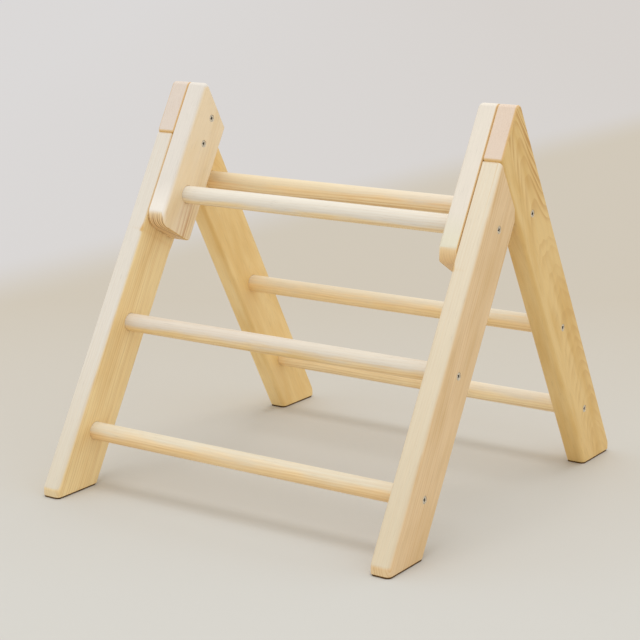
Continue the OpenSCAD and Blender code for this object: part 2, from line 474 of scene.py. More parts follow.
@dataclass(frozen=True)
class Pine:
    """Planed and sanded pine under a thin clear satin oil.

    Growth rings are shells about the log's centre line, so one pattern gives long lines on a
    quarter-sawn face, arches on a flat-sawn one and stripes on the end grain. Each ring ends in a
    thin amber line of late wood. Light is painted in: faces that look up are painted pale as lit,
    sides and undersides golden as in shade. Tight roundings turn amber, from the oil they take up
    and as painted shade of the small rounding.
    Lengths are millimetres, in the grain's own frame, whose Z runs along the grain. fade_mm and
    faint_mm say where along and across the grain the rings change to low_gain and to faintest.
    Depths and shades say how strong a layer is. summer and winter are the shares of a year's
    growth in which its late wood darkens and ends, and the other shares are the values of the
    noise, or of the slope, over which a layer sets in.
    """

    name: str
    origin: Vector
    turn: tuple[float, float, float]
    cut: Cut
    tones: Tones
    pith_mm: float = 75.0
    centre_mm: Span = (0.0, 0.0)
    ring_mm: float = 3.4
    taper: float = 0.02
    wander_mm: float = 5.0
    wander_across_mm: float = 48.0
    wander_run_mm: float = 260.0
    bleach: Span = (0.08, 0.46)
    ragged: float = 0.0
    faint_mm: Span = (100.0, 120.0)
    faintest: float = 0.15
    fade_mm: Span = (-120.0, -500.0)
    low_gain: float = 1.0
    latewood: str = "#C9954F"
    end_grain: str = "#E6C290"
    end_line: str = "#C08A4C"
    # amber of tight roundings: the oil they take up, and painted shade of the small rounding
    oiled_edge: str = "#DAAD5C"
    golden_depth: float = 0.4
    pale_depth: float = 0.1
    end_depth: float = 0.5
    oil_depth: float = 0.85
    season_rate: float = 0.55
    season_swing: float = 1.6
    summer: Span = (0.3, 0.88)
    winter: Span = (0.92, 1.0)
    cloud_share: Span = (0.4, 0.68)
    patch_share: Span = (0.32, 0.66)
    patch_faintest: float = 0.3
    fibre_share: Span = (0.25, 0.75)
    fibre_shades: Span = (0.955, 1.035)
    duct_share: Span = (0.64, 0.76)
    duct_shade: float = 0.9
    cut_across: Span = (0.12, 0.78)
    end_lines: Span = (0.35, 1.0)
    satin_share: Span = (0.3, 0.7)
    satin: Span = (0.42, 0.54)
    relief_mm: float = 0.08
    relief: float = 0.35
    seed: float = 0.0

    def make(self) -> Material:
        """Build the material.

        Returns:
            The pine material.
        """
        material = bpy.data.materials.new(f"pine, {self.name}")
        add = open_nodes(material)
        place = add("TexCoord", output="Object")
        normal = add("TexCoord", output="Normal")
        grain = add("Mapping", (place, self.origin, self.turn, (MM, MM, MM)), vector_type="TEXTURE")
        marks = {}
        for kind in Marks:
            width, length, detail, shift = kind.value
            density = (1 / width, 1 / width, 1 / length)
            start = (self.seed, shift, self.seed)
            scaled = add("VectorMath", (grain, density, start), operation="MULTIPLY_ADD")
            marks[kind] = add("TexNoise", (scaled, 1.0, detail, 0.55))
        late = self._late_wood(add, grain)
        # Painted light: a face that looks up gets a pale tone as if lit, sides and undersides a golden
        # tone as if in shade; streak noise makes the boundary wander.
        upward = add("SeparateXYZ", (normal,), "Z")
        streaky = add("Math", (marks[Marks.STREAKS], self.ragged, upward), operation="MULTIPLY_ADD")
        low, high = (limit + self.ragged / 2 for limit in self.bleach)
        painted_shade = add("MapRange", (streaky, high, low), interpolation_type="SMOOTHSTEP")
        planed = self._long_grain(add, grain, marks, late, painted_shade)
        # End grain is striped only where shade is painted; end grain that looks up is painted pale as
        # lit.
        along = Vector((0, 0, 1))
        along.rotate(Euler(self.turn))
        across = add("VectorMath", (normal, along), operation="DOT_PRODUCT")
        facing = add("Math", (across,), operation="ABSOLUTE")
        ends = (facing, *self.cut_across, 0.0, painted_shade)
        amount = add("MapRange", ends, interpolation_type="SMOOTHSTEP")
        lines = add("MapRange", (late, *self.end_lines, 0.0, self.end_depth))
        striped = add("Mix", (lines, colour(self.end_grain), colour(self.end_line)), data_type="RGBA")
        sawn = add("Mix", (amount, planed, striped), data_type="RGBA")
        # Tight roundings turn amber: the oil they take up, and painted shade of the small rounding.
        worn = add("Attribute", output="Fac", attribute_name=OIL_AND_SHADE)
        oil_and_shade_mix = add("MapRange", (worn, 0.0, 1.0, 0.0, self.oil_depth))
        skin = add("Mix", (oil_and_shade_mix, sawn, colour(self.oiled_edge)), data_type="RGBA")
        height = add("Math", (late, marks[Marks.FIBRES]), operation="ADD")
        relief = {"Height": height, "Strength": self.relief, "Distance": self.relief_mm * MM}
        shader = add(
            "BsdfPrincipled",
            {
                "Base Color": skin,
                "Roughness": add("MapRange", (marks[Marks.FIBRES], *self.satin_share, *self.satin)),
                "IOR": 1.5,
                "Normal": add("Bump", relief),
            },
        )
        add("OutputMaterial", (shader,))
        return material

    def _late_wood(self, add: AddNode, grain: NodeSocket) -> NodeSocket:
        """Growth rings about a log centre line that wanders a little.

        Args:
            add: Adds a node to the material.
            grain: Place in the grain's frame.

        Returns:
            Amount of late wood, from 0 to 1.
        """
        waves = (1 / self.wander_across_mm, 1 / self.wander_across_mm, 1 / self.wander_run_mm)
        start = (self.seed, self.seed, 5.0)
        scaled = add("VectorMath", (grain, waves, start), operation="MULTIPLY_ADD")
        wander = add("TexNoise", (scaled, 1.0, 2.0, 0.45), "Color")
        swing = (2 * self.wander_mm, 2 * self.wander_mm, 0)
        pith = [
            middle + toward * self.pith_mm for middle, toward in zip(self.centre_mm, self.cut.value)
        ]
        to_pith = (-pith[0] - self.wander_mm, -pith[1] - self.wander_mm, 0)
        shift = add("VectorMath", (wander, swing, to_pith), operation="MULTIPLY_ADD")
        from_pith = add("VectorMath", (grain, shift), operation="ADD")
        flat = add("VectorMath", (from_pith, (1, 1, 0)), operation="MULTIPLY")
        radius = add("VectorMath", (flat,), operation="LENGTH")
        height = add("SeparateXYZ", (grain,), "Z")
        cone = add("Math", (height, self.taper, radius), operation="MULTIPLY_ADD")
        years = add("Math", (cone, self.ring_mm), operation="DIVIDE")
        seasons = add("TexNoise", (years, self.season_rate, 1.0), noise_dimensions="1D")
        uneven = add("Math", (seasons, self.season_swing, years), operation="MULTIPLY_ADD")
        year = add("Math", (uneven,), operation="FRACT")
        darkening = add("MapRange", (year, *self.summer), interpolation_type="SMOOTHSTEP")
        ending = add("MapRange", (year, *self.winter, 1.0, 0.0))
        return add("Math", (darkening, ending), operation="MULTIPLY")

    def _long_grain(
        self,
        add: AddNode,
        grain: NodeSocket,
        marks: dict[Marks, NodeSocket],
        late: NodeSocket,
        painted_shade: NodeSocket,
    ) -> NodeSocket:
        """Colour along the grain: ground tones with painted light and shade, ring lines, fine fibres and
        short resin ducts.

        Args:
            add: Adds a node to the material.
            grain: Place in the grain's frame.
            marks: Noise of each kind of marks.
            late: Amount of late wood.
            painted_shade: 0 where a face looks up and is painted pale as lit, 1 where it is painted
                golden as in shade.

        Returns:
            The colour.
        """
        pale, low_pale, golden, deep = (colour(tone) for tone in astuple(self.tones))
        inward, height = (add("SeparateXYZ", (grain,), axis) for axis in "YZ")
        lower = add("MapRange", (height, *self.fade_mm))
        painted_lit_tone = add("Mix", (lower, pale, low_pale), data_type="RGBA")
        cloudy = add("MapRange", (marks[Marks.CLOUDS], *self.cloud_share))
        clouded = add("Mix", (cloudy, golden, deep), data_type="RGBA")
        ground = add("Mix", (painted_shade, painted_lit_tone, clouded), data_type="RGBA")
        lines = late
        for factor in (
            add("MapRange", (marks[Marks.PATCHES], *self.patch_share, self.patch_faintest, 1.0)),
            # ring lines are painted fainter on the faces painted as lit
            add("MapRange", (painted_shade, 0.0, 1.0, self.pale_depth, self.golden_depth)),
            add("MapRange", (height, *self.fade_mm, 1.0, self.low_gain)),
            add("MapRange", (inward, *self.faint_mm, 1.0, self.faintest)),
        ):
            lines = add("Math", (lines, factor), operation="MULTIPLY")
        ringed = add("Mix", (lines, ground, colour(self.latewood)), data_type="RGBA")
        fibres = add("MapRange", (marks[Marks.FIBRES], *self.fibre_share, *self.fibre_shades))
        ducts = add("MapRange", (marks[Marks.DUCTS], *self.duct_share, 1.0, self.duct_shade))
        level = add("Math", (fibres, ducts), operation="MULTIPLY")
        return add("VectorMath", (ringed, level), operation="SCALE")


@dataclass(frozen=True)
class ZincPlate:
    """Zinc-plated steel, drawn and plated: a bright grey metal with a soft, slightly cloudy shine.

    The cross recess is painted dark as shade, where ambient occlusion finds it hidden. The plating's
    grit is drawn coarse enough to show.
    """

    tint: str = "#F1E9DA"
    cloudy: str = "#D2C8B6"
    dirt: str = "#24170F"
    grit_mm: float = 1.2
    dirt_reach_mm: float = 2.2
    open_share: Span = (0.6, 0.93)
    shine: Span = (0.28, 0.5)
    relief_mm: float = 0.02
    relief: float = 0.2

    def make(self) -> Material:
        """Build the material.

        Returns:
            The zinc material.
        """
        material = bpy.data.materials.new("zinc-plated steel")
        add = open_nodes(material)
        place = add("TexCoord", output="Object")
        clouds = add("TexNoise", (place, 1 / (self.grit_mm * MM), 4.0))
        plated = add("Mix", (clouds, colour(self.tint), colour(self.cloudy)), data_type="RGBA")
        # Painted shade: the cross recess darkens where ambient occlusion finds it hidden from the light.
        reach = {"Distance": self.dirt_reach_mm * MM}
        open_sky = add("AmbientOcclusion", reach, "AO", samples=8)
        open_to_light = add("MapRange", (open_sky, *self.open_share))
        relief = {"Height": clouds, "Strength": self.relief, "Distance": self.relief_mm * MM}
        shader = add(
            "BsdfPrincipled",
            {
                "Base Color": add("Mix", (open_to_light, colour(self.dirt), plated), data_type="RGBA"),
                "Metallic": 1.0,
                "Roughness": add("MapRange", (clouds, 0.0, 1.0, *self.shine)),
                "Normal": add("Bump", relief),
            },
        )
        add("OutputMaterial", (shader,))
        return material


@dataclass(frozen=True)
class PadRubber:
    """Dark moulded rubber sheet: matt, nearly black brown, with a fine pebbled skin; its dark is also
    painted shadow, the contact shadow line under each foot.

    The pebbles are drawn coarse enough to show.
    """

    # near-black brown: rubber, and painted shadow of the contact line under the foot
    tint: str = "#452C08"
    dusty: str = "#674712"
    pebble_mm: float = 0.8
    dust_mm: float = 100 / 9
    matt: Span = (0.7, 0.9)
    relief_mm: float = 0.1
    relief: float = 0.5

    def make(self) -> Material:
        """Build the material.

        Returns:
            The rubber material.
        """
        material = bpy.data.materials.new("dark rubber sheet")
        add = open_nodes(material)
        place = add("TexCoord", output="Object")
        pebbles = add("TexVoronoi", (place, 1 / (self.pebble_mm * MM)))
        dust = add("TexNoise", (place, 1 / (self.dust_mm * MM), 3.0))
        dusted = add("Mix", (dust, colour(self.tint), colour(self.dusty)), data_type="RGBA")
        relief = {"Height": pebbles, "Strength": self.relief, "Distance": self.relief_mm * MM}
        shader = add(
            "BsdfPrincipled",
            {
                "Base Color": dusted,
                "Roughness": add("MapRange", (dust, 0.0, 1.0, *self.matt)),
                "Normal": add("Bump", relief),
            },
        )
        add("OutputMaterial", (shader,))
        return material


# ---- Sizes that the pieces share


@dataclass(frozen=True)
class Leaning:
    """The plane of one ladder, in which places are given along its rails and inward from its face.

    way is -1 for the front ladder and 1 for the rear one.
    """

    way: int
    lean: float
    apex_z: float
    rail_w: float = 70 * MM

    @property
    def down(self) -> Vector:
        """Direction along a rail, from the apex to the foot."""
        return Vector((0, self.way * math.sin(self.lean), -math.cos(self.lean)))

    @property
    def inward(self) -> Vector:
        """Direction from the outer edge of a rail to its inner edge."""
        return Vector((0, -self.way * math.cos(self.lean), -math.sin(self.lean)))

    @property
    def apex(self) -> Vector:
        """Where the outer edges of the two ladders would meet."""
        return Vector((0, 0, self.apex_z))

    @property
    def grain_turn(self) -> tuple[float, float, float]:
        """Turn of a frame whose Y runs inward and whose Z runs up the rail."""
        return (-self.lean, 0.0, 0.0 if self.way < 0 else math.pi)

    def point(self, along: float, inward: float) -> Vector:
        """Point in the middle plane, this far down the rail and this far in from its edge."""
        return self.apex + along * self.down + inward * self.inward

    def station(self, place: Vector) -> Span:
        """Distance down the rail from the apex, and distance inward, of a point."""
        from_apex = beside(0, place) - self.apex
        return from_apex.dot(self.down), from_apex.dot(self.inward)


@dataclass(frozen=True)
class Stance:
    """How the two ladders stand and meet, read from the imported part."""

    tip_h: float = 12 * MM
    stop_gap: float = 0.4 * MM
    apex_r: float = 8 * MM
    cheek_drop: float = 54 * MM
    lean: float = field(default_factory=lambda: math.radians(frame["joints"][0]["range_deg"][1] / 2))
    pivot: Vector = field(default_factory=lambda: Vector(frame["joints"][0]["pos_m"]))

    @property
    def apex_z(self) -> float:
        """Height at which the outer edges meet, from the tip of a front foot."""
        low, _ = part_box("front_rail_right")
        return self.tip_h - low.y / math.tan(self.lean)

    @property
    def front(self) -> Leaning:
        """Plane of the front ladder."""
        return Leaning(-1, self.lean, self.apex_z)

    @property
    def rear(self) -> Leaning:
        """Plane of the rear ladder."""
        return Leaning(1, self.lean, self.apex_z)

    @property
    def cheek_end(self) -> float:
        """Distance down the front rails at which the cheek boards end."""
        return self.front.station(self.pivot)[0] + self.cheek_drop


# ---- Screws, rungs and pads


@dataclass
class WoodScrew:
    """Countersunk wood screw with a cross recess, its head at the origin and its shank down Z."""

    length: float
    head_r: float = 4.5 * MM
    shank_r: float = 2.25 * MM
    rim_h: float = 0.4 * MM
    rim_ease: float = 0.15 * MM
    tip_len: float = 6 * MM
    tip_r: float = 0.5 * MM
    sink: float = 0.4 * MM
    play: float = 0.05 * MM
    hole_flare: float = 0.25 * MM
    hole_mouth: float = 1.5 * MM
    recess_arm: float = 6.2 * MM
    recess_w: float = 1.8 * MM
    recess_depth: float = 2.2 * MM
    blade_above: float = 1 * MM
    blade_taper: tuple[float, float, float] = (0.35, 0.7, 1.0)
    vertices: int = 32

    def _body(self, play: float = 0.0) -> tuple[Span, ...]:
        """Profile from the rim to the tip.

        Args:
            play: How much wider and longer it is than the screw.

        Returns:
            (height, radius) of each step.
        """
        cone_h = self.head_r - self.shank_r
        return (
            (-self.rim_h, self.head_r + play),
            (-self.rim_h - cone_h, self.shank_r + play),
            (-self.length + self.tip_len, self.shank_r + play),
            (-self.length - play, self.tip_r),
        )

    def model(self) -> Object:
        """Model the screw. Two blades like the driver's leave its cross recess.

        Returns:
            The screw, about the Z axis, with the head's face at the origin.
        """
        rim = ((0.0, self.head_r - self.rim_ease), (-self.rim_ease, self.head_r))
        screw = turn_profile("screw", (*rim, *self._body()), self.vertices)
        low = Vector((-self.recess_arm / 2, -self.recess_w / 2, -self.recess_depth))
        for turn in (0.0, math.pi / 2):
            blade = saw_block("blade", low, Vector((-low.x, -low.y, self.blade_above)))
            with editing(blade) as mesh:
                bpy.ops.mesh.select_all(action="DESELECT")
                for face in mesh.faces:
                    face.select = face.normal.z < -FACING
                bpy.ops.transform.resize(value=self.blade_taper)
            select_only(blade)
            blade.rotation_euler = (0, 0, turn)
            bpy.ops.object.transform_apply()
            carve(screw, [blade])
        return screw

    def hole(self) -> Object:
        """Cutter for the hole that the screw sits in.

        Returns:
            The cutter, about the Z axis.
        """
        bore_r = self.head_r + self.play
        mouth = (
            (self.hole_mouth, bore_r + self.hole_flare + self.hole_mouth - self.sink),
            (self.sink - self.hole_flare, bore_r),
        )
        return turn_profile("screw_hole", (*mouth, *self._body(self.play)), self.vertices)


@dataclass
class ScrewRow:
    """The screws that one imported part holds, with their heads towards one side.

    places lie on the screws' centre lines.
    """

    node: str
    side: Side
    places: list[Vector]
    spins_deg: tuple[float, ...] = (12.0, 47.0, 74.0)

    @property
    def screw(self) -> WoodScrew:
        """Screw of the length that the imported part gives."""
        low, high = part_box(self.node)
        return WoodScrew(high.x - low.x)

    def _copies(self, pattern: Object, spins_deg: Sequence[float]) -> list[Object]:
        """Lay a copy of a screw or of its cutter at each place.

        Args:
            pattern: What is copied, about the Z axis. It is used up.
            spins_deg: Turn of each copy about its own axis.

        Returns:
            The copies, each with its own mesh.
        """
        low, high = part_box(self.node)
        copies = []
        for place, spin in zip(self.places, spins_deg):
            copy = pattern.copy()
            copy.data = pattern.data.copy()
            bpy.context.scene.collection.objects.link(copy)
            head = beside(self.side.pick(high.x, low.x), place)
            lay_along_x(copy, head, self.side, math.radians(spin))
            copies.append(copy)
        bpy.data.objects.remove(pattern)
        return copies

    def build(self, finish: Material) -> None:
        """Model, join and hang the screws of the row.

        Args:
            finish: The screws' metal.
        """
        select_only(*self._copies(self.screw.model(), self.spins_deg))
        bpy.ops.object.join()
        row = bpy.context.object
        row.name = f"{self.node}_zinc"
        finish_surface(row, sharp_deg=30)
        hang(row, self.node, finish)

    def holes(self) -> list[Object]:
        """Cutters for the holes of these screws."""
        return self._copies(self.screw.hole(), [0.0] * len(self.places))


@dataclass
class Rung:
    """A turned rung with eased ends and a pilot hole for the screw at each end.

    Its pine is sawn close to the log's centre. Its top is painted pale as lit from above, and its
    underside golden as painted shade.
    """

    node: str
    tones: Tones
    bleach: Span
    seed: float
    latewood: str = "#C9954F"
    golden_depth: float = 0.4
    radius: float = 11.5 * MM
    chamfer: float = 0.8 * MM
    pilot_r: float = 2.3 * MM
    pilot_depth: float = 36 * MM
    vertices: int = 64

    @property
    def middle(self) -> Vector:
        """Middle of the rung."""
        return centre_of(self.node)

    def build(self) -> None:
        """Turn, drill and hang the rung."""
        low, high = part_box(self.node)
        length = high.x - low.x
        eased_r = self.radius - self.chamfer
        profile = (
            (0.0, eased_r),
            (self.chamfer, self.radius),
            (length - self.chamfer, self.radius),
            (length, eased_r),
        )
        rung = turn_profile(f"{self.node}_pine", profile, self.vertices)
        with editing(rung) as mesh:
            bpy.ops.mesh.select_all(action="DESELECT")
            for face in mesh.faces:
                face.select = abs(face.normal.z) > FACING
            bpy.ops.mesh.inset(thickness=eased_r - self.pilot_r)
            bpy.ops.mesh.extrude_region_shrink_fatten(
                TRANSFORM_OT_shrink_fatten={"value": -self.pilot_depth}
            )
        lay_along_x(rung, beside(low.x, self.middle), Side.RIGHT)
        finish_surface(rung, sharp_deg=35)
        pine = Pine(
            name=self.node.replace("_", " "),
            origin=self.middle,
            turn=(0.0, math.pi / 2, 0.0),
            cut=Cut.FLAT_LEFT,
            tones=self.tones,
            pith_mm=60.0,
            taper=0.006,
            wander_mm=6.0,
            fade_mm=(130.0, -40.0),
            bleach=self.bleach,
            ragged=1.6,
            latewood=self.latewood,
            golden_depth=self.golden_depth,
            seed=self.seed,
        )
        hang(rung, self.node, pine.make())


@dataclass
class FootPad:
    """A thin pad under a foot, with its corners rounded like the foot's."""

    node: str
    corner_r: float = 5.2 * MM
    eased: float = 0.3 * MM

    def build(self, finish: Material) -> None:
        """Cut, round and hang the pad.

        Args:
            finish: The pad's rubber.
        """
        low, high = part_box(self.node)
        pad = saw_block(f"{self.node}_rubber", low, high)
        round_edges(pad, lambda _, way: self.corner_r if abs(way.z) > ALONG else 0.0, segments=6)
        round_edges(pad, lambda at, _: self.eased if high.z - at.z < TINY else 0.0, segments=2)
        finish_surface(pad, sharp_deg=40)
        hang(pad, self.node, finish)


# ---- Boards


@dataclass
class Board(ABC):
    """A sawn board of a ladder. Each kind of board adds its own cuts and its own pine.

    A board is sawn to its long planes, its long edges are rounded, its ends are shaped, and then
    the edges that the shaping left are eased. Its tones are given for the right board and the
    left one; the left board's golden tones are lighter and its pale tones cooler, painted light
    that reaches the left side, and spare is the length under its part that is sawn off again.
    """

    side: Side
    stance: Stance
    kind: str = "board"
    slot: str = "rail_wood"
    tones: tuple[Tones, ...] = ()
    spare: float = 0.0
    edge_r: float = 6 * MM
    trim_r: float = 1.6 * MM
    sole_r: float = 0.6 * MM
    flare: float = 0.4 * MM
    rounding_steps: int = 6
    trim_steps: int = 4
    trim_bend_deg: float = 25.0
    apex_flats: int = 9
    bore_vertices: int = 48

    @property
    def node(self) -> str:
        """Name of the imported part."""
        return f"{self.kind}_{self.side.word}"

    @property
    def plane(self) -> Leaning:
        """Plane that the board lies in."""
        return self.stance.front

    @property
    def box(self) -> tuple[Vector, Vector]:
        """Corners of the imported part's box."""
        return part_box(self.node)

    @abstractmethod
    def shape(self) -> Object:
        """Saw and round the board."""

    @abstractmethod
    def bores(self) -> list[Object]:
        """Cutters for what is bored into the board for its rungs."""

    @abstractmethod
    def pine(self) -> Pine:
        """The board's own cut of pine."""

    def build(self, rows: Sequence[ScrewRow]) -> None:
        """Saw, round, drill and hang the board.

        Args:
            rows: The rows of screws that go into it.
        """
        block = self.shape()
        round_edges(block, self.trim_radius, self.trim_steps, self.trim_bend_deg)
        carve(block, [*self.bores(), *(hole for row in rows for hole in row.holes())])
        finish_surface(block, sharp_deg=32)
        hang(block, self.node, self.pine().make())

    def blank(self) -> Object:
        """Board sawn to its long planes, from the lowest point of its part up to the apex.

        Returns:
            The blank.
        """
        low, high = self.box
        top = Vector((high.x, high.y, self.stance.apex_z))
        block = saw_block(f"{self.node}_pine", low - Vector((0, 0, self.spare)), top)
        saw(block, self.plane.point(0, 0), -self.plane.inward)
        saw(block, self.plane.point(0, self.plane.rail_w), self.plane.inward)
        return block

    def shave_apex(self, block: Object) -> None:
        """Round the apex, where the outer planes of the two ladders meet.

        Args:
            block: The piece.
        """
        front, rear = self.stance.front, self.stance.rear
        radius = self.stance.apex_r
        centre = front.apex - Vector((0, 0, radius / math.sin(self.stance.lean)))
        shave_arc(block, centre, radius, (-front.inward, -rear.inward), self.apex_flats)

    def bore(self, radius: float, ends: Span, place: Vector, through: bool) -> Object:
        """Cutter for a round bore along X, flared at its mouth.

        Args:
            radius: Radius of the bore.
            ends: X of the mouth and of the far end.
            place: A point on its centre line.
            through: True for a bore that comes out, and is flared, at the far end too.

        Returns:
            The cutter.
        """
        depth = abs(ends[1] - ends[0])
        wide = radius + self.flare + STAND_OUT
        profile = [(-STAND_OUT, wide), (self.flare, radius), (depth, radius)]
        if through:
            profile[2:] = [(depth - self.flare, radius), (depth + STAND_OUT, wide)]
        cutter = turn_profile("bore", profile, self.bore_vertices)
        lay_along_x(cutter, beside(ends[0], place), Side.RIGHT if ends[1] > ends[0] else Side.LEFT)
        return cutter

    def on_face(self, middle: Vector, direction: Vector) -> bool:
        """True for an edge that borders one of the two broad faces."""
        low, high = self.box
        return abs(direction.x) < ALONG and min(middle.x - low.x, high.x - middle.x) < TINY

    def is_outer(self, middle: Vector) -> bool:
        """True for a point on the broad face that looks away from the middle."""
        low, high = self.box
        return abs(middle.x - self.side.pick(high.x, low.x)) < TINY

    def trim_radius(self, middle: Vector, direction: Vector) -> float:
        """Easing of an edge that the shaping of the ends has left.

        Args:
            middle: Middle of the edge.
            direction: Direction of the edge.

        Returns:
            The edge's radius, 0 for the short edges that cross a rounding.
        """
        low, high = self.box
        third = (high.x - low.x) / 3
        right_across = abs(direction.x) > ALONG and low.x + third < middle.x < high.x - third
        return self.trim_r if right_across or self.on_face(middle, direction) else 0.0

    def sawn_pine(self, inward_mm: float, **looks: object) -> Pine:
        """Cut of pine in the board's plane.

        Args:
            inward_mm: How far in from the board's edge lies the point that the log's centre
                is measured from.
            looks: What sets this cut apart.

        Returns:
            The pine.
        """
        return Pine(
            name=self.node.replace("_", " "),
            origin=self.plane.apex,
            turn=self.plane.grain_turn,
            tones=self.side.pick(*self.tones),
            centre_mm=(-self.plane.way * centre_of(self.node).x / MM, inward_mm),
            **looks,
        )


@dataclass
class Rail(Board):
    """A rail of a ladder, with a foot cut flat to the floor and blind sockets for the rungs."""

    rungs: tuple[Rung, ...] = ()
    socket_depth: float = 12 * MM
    play: float = 0.05 * MM
    snug: float = 0.0
    toe_r: float = 12 * MM
    toe_flats: int = 5

    @property
    def box(self) -> tuple[Vector, Vector]:
        """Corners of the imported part's box, grown inward beside a cheek board.

        Returns:
            The lowest and the highest corner.
        """
        low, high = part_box(self.node)
        self.side.pick(low, high).x -= self.side.value * self.snug
        return low, high

    def shave_toe(self, block: Object) -> None:
        """Round the corner between the rail's outer edge and the foot's vertical tip.

        Args:
            block: The rail.
        """
        low, high = self.box
        tip_y = low.y if self.plane.way < 0 else high.y
        apex, down = self.plane.apex, self.plane.down
        corner = apex + down * ((tip_y - apex.y) / down.y)
        outward, ahead = -self.plane.inward, Vector((0, self.plane.way, 0))
        centre = corner - self.toe_r * (outward + ahead) / (1 + outward.dot(ahead))
        shave_arc(block, centre, self.toe_r, (outward, ahead), self.toe_flats)

    def bores(self) -> list[Object]:
        """Cutters for the blind sockets of the rungs.

        Returns:
            The cutters, one for each rung.
        """
        mouth = self.side.pick(*(corner.x for corner in self.box))
        ends = (mouth, mouth + self.side.value * (self.socket_depth + self.snug))
        return [self.bore(rung.radius + self.play, ends, rung.middle, False) for rung in self.rungs]

    def at_sole(self, middle: Vector) -> bool:
        """True for an edge of the sole."""
        return middle.z - self.box[0].z < TINY


@dataclass
class FrontRail(Rail):
    """A front rail: its head is mitred against the rear rail and rounded about the pivot.

    Its inner edges stay square along the cheek board and are rounded below it, and the running
    gap beside that board is closed to a hair, as it looks in the real one.
    """

    kind: str = "front_rail"
    tones: tuple[Tones, ...] = (
        Tones("#E9DECA", "#DDCFB5", "#EACCA2", "#DFBE8E"),
        Tones("#E3DDD4", "#DED5C4", "#F8DFAA", "#F0D197"),
    )
    snug: float = 0.8 * MM
    head_flats: int = 4
    run_out: float = 18 * MM
    run_out_steps: int = 9

    def shape(self) -> Object:
        """Saw and round the rail.

        Returns:
            The rail.
        """
        block = self.blank()
        self.shave_toe(block)
        for step in range(self.run_out_steps + 1):
            along = self.stance.cheek_end + self.run_out * step / self.run_out_steps
            saw(block, self.plane.point(along, 0), self.plane.down, through=False)
        round_edges(block, self._radius, self.rounding_steps)
        rear, pivot = self.stance.rear, self.stance.pivot
        mitre = rear.point(0, rear.rail_w + self.stance.stop_gap)
        saw(block, mitre, -rear.inward)
        reach = (pivot - mitre).dot(rear.inward)
        end = math.acos(self.plane.rail_w / 2 / reach)
        last = self.plane.inward * math.cos(end) - self.plane.down * math.sin(end)
        shave_arc(block, pivot, reach, (-rear.inward, last), self.head_flats)
        return block

    def _radius(self, middle: Vector, direction: Vector) -> float:
        """Rounding of an edge round one of the broad faces.

        Args:
            middle: Middle of the edge.
            direction: Direction of the edge.

        Returns:
            The edge's radius, which grows from the cheek board's end over the run-out.
        """
        at_end = self.at_sole(middle) or middle.z > self.stance.apex_z - TINY
        if at_end or not self.on_face(middle, direction):
            return 0.0
        if self.is_outer(middle):
            return self.edge_r
        along, _ = self.plane.station(middle)
        run = min(1.0, max(0.0, (along - self.stance.cheek_end) / self.run_out))
        return self.trim_r + (self.edge_r - self.trim_r) * run * run * (3 - 2 * run)

    def trim_radius(self, middle: Vector, direction: Vector) -> float:
        """Easing of an edge of the sole or of the head."""
        return self.sole_r if self.at_sole(middle) else super().trim_radius(middle, direction)

    def pine(self) -> Pine:
        """Rift-sawn pine with straight grain.

        Returns:
            The pine.
        """
        return self.sawn_pine(
            inward_mm=20.0,
            cut=Cut.RIFT,
            fade_mm=self.side.pick((-120.0, -500.0), (-350.0, -540.0)),
            latewood="#CD9C52",
            end_grain=self.side.pick("#ECCF9F", "#E6D2AE"),
            golden_depth=0.36,
            end_depth=self.side.pick(0.4, 0.2),
            seed=3.0 + self.side.value,
        )


@dataclass
class RearRail(Rail):
    """A rear rail: its head is cut flush with the front rails' outer edge, under a rounded apex."""

    kind: str = "rear_rail"
    tones: tuple[Tones, ...] = (
        Tones("#E5D2C2", "#E9DECA", "#E9C889", "#DDB66F"),
        Tones("#E0D3C9", "#E9DECA", "#F7D99C", "#EDC985"),
    )
    head_r: float = 4.5 * MM
    back_r: float = 2.5 * MM

    @property
    def plane(self) -> Leaning:
        """Plane that the rail lies in."""
        return self.stance.rear

    def shape(self) -> Object:
        """Saw and round the rail.

        Returns:
            The rail.
        """
        block = self.blank()
        front = self.stance.front
        saw(block, front.point(0, 0), -front.inward)
        self.shave_apex(block)
        self.shave_toe(block)
        round_edges(block, self._radius, self.rounding_steps)
        return block

    def _radius(self, middle: Vector, direction: Vector) -> float:
        """Rounding of an edge.

        Args:
            middle: Middle of the edge.
            direction: Direction of the edge.

        Returns:
            The edge's radius.
        """
        under = abs(self.plane.station(middle)[1] - self.plane.rail_w) < TINY
        if self.at_sole(middle):
            return 0.0
        if self.on_face(middle, direction):
            return self.edge_r if under else self.back_r
        at_head = self.stance.front.station(middle)[1] < TINY
        return self.head_r if under and at_head else 0.0

    def trim_radius(self, middle: Vector, direction: Vector) -> float:
        """Easing of an edge of the sole."""
        return self.sole_r if self.at_sole(middle) else 0.0

    def pine(self) -> Pine:
        """Golden, flat-sawn pine with arches on its broad faces, strongest at the head.

        Returns:
            The pine.
        """
        return self.sawn_pine(
            inward_mm=26.0,
            cut=self.side.pick(Cut.FLAT_RIGHT, Cut.FLAT_LEFT),
            pith_mm=50.0,
            ring_mm=3.0,
            taper=0.12,
            wander_mm=9.0,
            faint_mm=(40.0, 52.0),
            fade_mm=(-100.0, -240.0),
            low_gain=0.3,
            latewood="#BE8940",
            end_grain="#E5D2C2",
            end_line="#D8B595",
            golden_depth=self.side.pick(0.85, 0.14),
            end_depth=0.2,
            seed=11.0 + self.side.value,
        )


